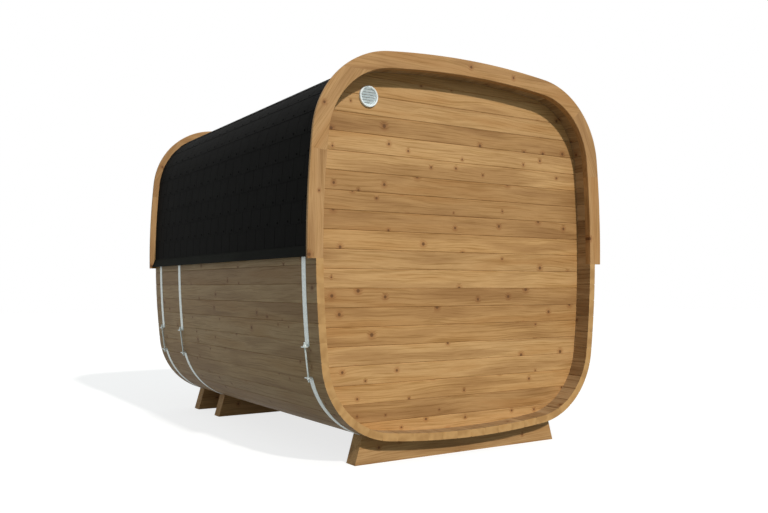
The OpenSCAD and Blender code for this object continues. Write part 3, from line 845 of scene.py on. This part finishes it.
def nail_unit(name, radius=8 * MM, rise=3.0 * MM, base=6.8 * MM):
    """A low domed nail head that sits on the tabs."""
    sides = 8
    verts = [(0, 0, base + rise)]
    for r, z in ((radius * 0.7, base + rise * 0.8), (radius, base)):
        verts += [(r * math.cos(a), r * math.sin(a), z) for a in np.arange(sides) * 2 * math.pi / sides]
    faces = [(0, 1 + i, 1 + (i + 1) % sides) for i in range(sides)]
    faces += [(1 + i, 9 + i, 9 + (i + 1) % sides, 1 + (i + 1) % sides) for i in range(sides)]
    faces.append(tuple(range(9, 17))[::-1])
    return mesh_object(name, verts, faces)


def trim_ends(obj, y):
    """Cuts off what stands past the arch lips, and closes the cut."""
    bm = bmesh.new()
    bm.from_mesh(obj.data)
    for side in (1, -1):
        geometry = bm.verts[:] + bm.edges[:] + bm.faces[:]
        done = bmesh.ops.bisect_plane(bm, geom=geometry, plane_co=(0, side * y, 0),
                                      plane_no=(0, side, 0), clear_outer=True)
        edges = [e for e in done["geom_cut"] if isinstance(e, bmesh.types.BMEdge)]
        bmesh.ops.edgenet_fill(bm, edges=edges)
    bmesh.ops.recalc_face_normals(bm, faces=bm.faces)
    bm.to_mesh(obj.data)
    bm.free()


eave_s = side_length(EAVE_TOP)
rows = int((QUARTER - eave_s) / ROW_PITCH)
row_pitch = (QUARTER - eave_s) / rows
tab = tab_unit("tab_unit")
tabs = lay("shingles_right", tab, rows, COLUMNS + 1, eave_s + 0.5 * row_pitch, row_pitch,
           -ROOF_L, TAB_PITCH, TAB_PITCH / 2, roof_felt, 4)
trim_ends(tabs, ROOF_L)
finish_piece(tabs, "bitumen_felt", "roofing_right")
finish_piece(mirror_x(tabs, "shingles_left"), "bitumen_felt", "roofing_left")
bpy.data.objects.remove(tab)

nail = nail_unit("nail_unit")
nails = lay("nails_right", nail, rows - 1, COLUMNS - 1, eave_s + 1.16 * row_pitch, row_pitch,
            -ROOF_L + 0.75 * TAB_PITCH, TAB_PITCH, TAB_PITCH / 2, nail_heads_painted_shade, 2)
bpy.data.objects.remove(nail)

underlay_section = [(0.0, -ROOF_L), (0.0, ROOF_L), (BASE_T, ROOF_L), (BASE_T, -ROOF_L)]
verts, faces = swept(eave_s, 2 * QUARTER - eave_s, underlay_section, 1, 0.03)
underlay = mesh_object("underlay", verts, faces, roof_felt)
tidy_normals(underlay)
finish_piece(underlay, "bitumen_felt", "roofing_top")
print("underlay", len(underlay.data.polygons), "faces")

# %% [markdown]
# The nails stand on the shingles, so they are laid at the shingles' height.

# %% Nails
finish_piece(nails, "galvanised_steel")
finish_piece(mirror_x(nails, "nails_left"), "galvanised_steel")

# %% [markdown]
# ## Turned pieces
# The vent's rim is moulded as a body of revolution. Its profile of radius and height
# is spun round an axis. The same function makes the rods and the nuts below.

# %% Turning and the vent's rim
def turned(name, profile, place, material, sides, solid=False):
    """Spins (radius, height) round Z, then places it. A solid has flat ends on the axis."""
    verts, faces = [], []
    n = len(profile)
    for i in range(sides):
        a = 2 * math.pi * i / sides
        verts += [place @ Vector((r * math.cos(a), r * math.sin(a), h)) for r, h in profile]
    for i in range(sides):
        j = (i + 1) % sides
        for k in range(n - 1 if solid else n):
            m = (k + 1) % n
            faces.append((i * n + k, j * n + k, j * n + m, i * n + m))
    if solid:
        faces += [tuple(i * n for i in range(sides)), tuple(i * n + n - 1 for i in range(sides))]
    obj = mesh_object(name, verts, faces, material)
    tidy_normals(obj)
    return obj


# Pairs of (distance inside the edge, height) in millimetres: the rim, and then the duct
RIM_SHAPE = [(0, 0), (0, 9), (1, 12), (3, 13.6), (5, 14), (7, 13.4), (8.6, 11.5), (9, 2)]
DUCT_SHAPE = [(3, 2), (3, -55), (0.2, -55), (0.2, 0)]
rim = [(VENT_D / 2 - inside * MM, h * MM) for inside, h in RIM_SHAPE]
rim += [(DUCT_D / 2 - inside * MM, h * MM) for inside, h in DUCT_SHAPE]
vent_place = Matrix.Translation((VENT_X, REAR_FACE_Y, AXIS_H + VENT_Z))
vent_place = vent_place @ Matrix.Rotation(-math.pi / 2, 4, "X")
flange = turned("vent_rim", rim, vent_place, vent_plastic, 64)
finish_piece(flange, "vent_plastic", "vent_flange")
print("vent rim", len(flange.data.polygons), "faces")

# %% [markdown]
# ## Tension rods
# Each strap is drawn tight by a threaded rod between two lugs, with a nut outside
# each lug. A plain bar would do from far off, but the turns of the thread give the
# rod its broken glint. The thread is made as rings, which is lighter than a helix.

# %% Threaded rods and nuts
ROD_R, THREAD_DEPTH, THREAD_PITCH = 6 * MM, 0.9 * MM, 1.75 * MM
ROD_OUT, ROD_TAIL, NUT_R, NUT_H = 17 * MM, 14 * MM, 11 * MM, 10 * MM
LUG_TOP, LUG_LOW = 0.559, 0.747
STRAP_Y = [1.346, -0.8655, -1.346]

top_end = Vector((HALF_W - SIDE_R + math.sqrt(SIDE_R**2 - LUG_TOP**2), 0, AXIS_H - LUG_TOP))
low_reach = math.sqrt(CORNER_R**2 - (LUG_LOW - CORNER[1]) ** 2)
low_end = Vector((CORNER[0] + low_reach, 0, AXIS_H - LUG_LOW))
rod_run = (top_end - low_end).length
lean = math.atan2(top_end.x - low_end.x, top_end.z - low_end.z)
low_frame = Matrix.Translation(low_end) @ Matrix.Rotation(lean, 4, "Y")
low_frame = low_frame @ Matrix.Translation((ROD_OUT, 0, 0))

thread_end = NUT_H + ROD_TAIL
turns = int((rod_run + 2 * thread_end) / THREAD_PITCH)
pitch = (rod_run + 2 * thread_end) / turns
thread = [(ROD_R - THREAD_DEPTH, -thread_end)]
for i in range(turns):
    thread += [(ROD_R, -thread_end + (i + 0.5) * pitch),
               (ROD_R - THREAD_DEPTH, -thread_end + (i + 1) * pitch)]
bevel = 1 * MM
nut_hole = ROD_R - 0.3 * MM
nut_shape = [(nut_hole, 0), (NUT_R - bevel, 0), (NUT_R, bevel), (NUT_R, NUT_H - bevel),
             (NUT_R - bevel, NUT_H), (nut_hole, NUT_H)]
for y, place in zip(STRAP_Y, ("rear", "middle", "front")):
    frame_here = Matrix.Translation((0, y, 0)) @ low_frame
    rod = turned("threaded_rod_" + place, thread, frame_here, strap_zinc, 14, solid=True)
    finish_piece(rod, "galvanised_steel", "tension_rod_" + place)
    for side, height in (("low", -NUT_H), ("top", rod_run)):
        nut = turned(f"nut_{side}_{place}", nut_shape, frame_here @ Matrix.Translation((0, 0, height)),
                     strap_zinc, 6)
        finish_piece(nut, "galvanised_steel", "tension_rod_" + place)
print("rods", round(rod_run, 4), "m between lugs,", turns, "turns")

# %% [markdown]
# ## Door boards
# A sauna door has no lock and is light. This one could be glass, but a boarded leaf
# repeats what the walls show. Its level boards are like those of the wall it closes.

# %% Door leaf
def flat_boards(name, x0, x1, z0, z1, y_out, y_in, material, seed):
    rng = np.random.default_rng(seed)
    count = round((z1 - z0) / BOARD_PITCH)
    pitch = (z1 - z0) / count
    verts, faces, planks, tones = [], [], [], []
    for i in range(count):
        lo, hi = z0 + i * pitch + BOARD_GAP / 2, z0 + (i + 1) * pitch - BOARD_GAP / 2
        v, f = strip(board_rows(lo, hi, True, True, lambda z: (x0, x1)), y_out, y_in, -1)
        faces += [tuple(k + len(verts) for k in face) for face in f]
        verts += v
        planks += [(p[0] + 3.1, p[2], p[1]) for p in v]
        tones += [rng.random()] * len(v)
    obj = mesh_object(name, verts, faces, material)
    add_tones(obj.data, planks, tones)
    tidy_normals(obj)
    return obj


LEAF_GAP, LEAF_T = 3 * MM, 0.040
leaf_face = FRONT_FACE_Y - FRAME_OUT
leaf = flat_boards("door_boards", -DOOR_W / 2 + LEAF_GAP, DOOR_W / 2 - LEAF_GAP, SILL_Z + LEAF_GAP,
                   HEAD_Z - LEAF_GAP, leaf_face, leaf_face + LEAF_T, board_wood, 12)
finish_piece(leaf, "board_wood", "door_leaf")
print("door leaf", len(leaf.data.polygons), "faces")

# %% [markdown]
# ## Finishes for the pieces that stay as constructed
# Straps, hinges, cradles, eaves, door frame, handle and louvres already have their true shape
# in the construction model, so they only get their finish.

# %% Finishes on construction pieces
FINISHES = {
    "strap": strap_zinc, "door_hinges": strap_zinc, "cradle": cradle_wood,
    "eave": eave_felt, "door_jamb": upright_wood, "door_handle": upright_wood,
    "door_head": level_wood, "door_sill": level_wood, "vent_louvres": vent_plastic,
}
for name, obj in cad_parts.items():
    for start, material in FINISHES.items():
        if name.startswith(start):
            obj.data.materials.clear()
            obj.data.materials.append(material)
print("finished", len(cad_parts), "construction pieces")

# %% [markdown]
# ## Studio
# A plain pale floor, a soft white world and one high lamp in front of the rear wall.
# The floor and world look white to the camera, and light the object at a plain level.

# %% Floor, world and lamp
def seen_directly(tree):
    """1 where a ray comes from the camera, a reflection or a transmission, or else 0."""
    path = add(tree, "ShaderNodeLightPath").outputs
    bent = math_node(tree, "MAXIMUM", path["Is Glossy Ray"], path["Is Transmission Ray"])
    return math_node(tree, "MAXIMUM", path["Is Camera Ray"], bent)


def studio():
    bpy.ops.mesh.primitive_plane_add(size=60, location=(0, 0, 0))
    floor = bpy.context.object
    floor.name = "floor"
    material = bpy.data.materials.new("pale floor")
    material.use_nodes = True
    tree = material.node_tree
    tree.nodes.clear()
    seen = seen_directly(tree)
    plain = add(tree, "ShaderNodeBsdfDiffuse", Color=hex_colour("#7C847C"))
    pale = add(tree, "ShaderNodeBsdfDiffuse", Color=hex_colour("#A0A0A0"))
    glow = add(tree, "ShaderNodeEmission", Color=(1, 1, 1, 1), Strength=0.76)
    both = add(tree, "ShaderNodeAddShader", i0=pale.outputs[0], i1=glow.outputs[0])
    mixed = add(tree, "ShaderNodeMixShader", i0=seen, i1=plain.outputs[0], i2=both.outputs[0])
    out = add(tree, "ShaderNodeOutputMaterial", Surface=mixed.outputs[0])
    floor.data.materials.append(material)
    return floor


def white_world(level):
    world = bpy.data.worlds.new("white")
    bpy.context.scene.world = world
    world.use_nodes = True
    tree = world.node_tree
    tree.nodes.clear()
    seen = seen_directly(tree)
    dim = add(tree, "ShaderNodeBackground", Color=hex_colour("#EAF5F6"), Strength=level)
    white = add(tree, "ShaderNodeBackground", Color=(1, 1, 1, 1), Strength=1.0)
    mixed = add(tree, "ShaderNodeMixShader", i0=seen, i1=dim.outputs[0], i2=white.outputs[0])
    add(tree, "ShaderNodeOutputWorld", Surface=mixed.outputs[0])


def lamp(elevation, azimuth, strength):
    """A broad high lamp. Azimuth 0 is straight in front of the rear wall."""
    data = bpy.data.lights.new("lamp", "SUN")
    data.energy = strength
    data.angle = math.radians(2.5)
    data.color = hex_colour("#FFFCF6")[:3]
    obj = bpy.data.objects.new("lamp", data)
    bpy.context.scene.collection.objects.link(obj)
    e, a = math.radians(elevation), math.radians(azimuth)
    towards = Vector((math.sin(a) * math.cos(e), math.cos(a) * math.cos(e), math.sin(e)))
    obj.rotation_euler = towards.to_track_quat("Z", "Y").to_euler()


studio()
white_world(0.45)
lamp(36.0, -2.0, 2.55)

# %% [markdown]
# ## Camera
# A level camera at chest height, beside the rear right corner. A small upward shift
# keeps the uprights parallel.

# %% Camera
camera = bpy.data.cameras.new("camera")
camera.sensor_width = 36.0
camera.lens = 38.12
camera.shift_y = 0.0492
eye = bpy.data.objects.new("camera", camera)
eye.location = (3.286, HALF_L + 4.089, AXIS_H - 0.218)
eye.rotation_euler = (math.radians(89.52), 0.0, math.radians(147.37))
bpy.context.scene.collection.objects.link(eye)
bpy.context.scene.camera = eye
bpy.context.scene.view_settings.view_transform = "Standard"
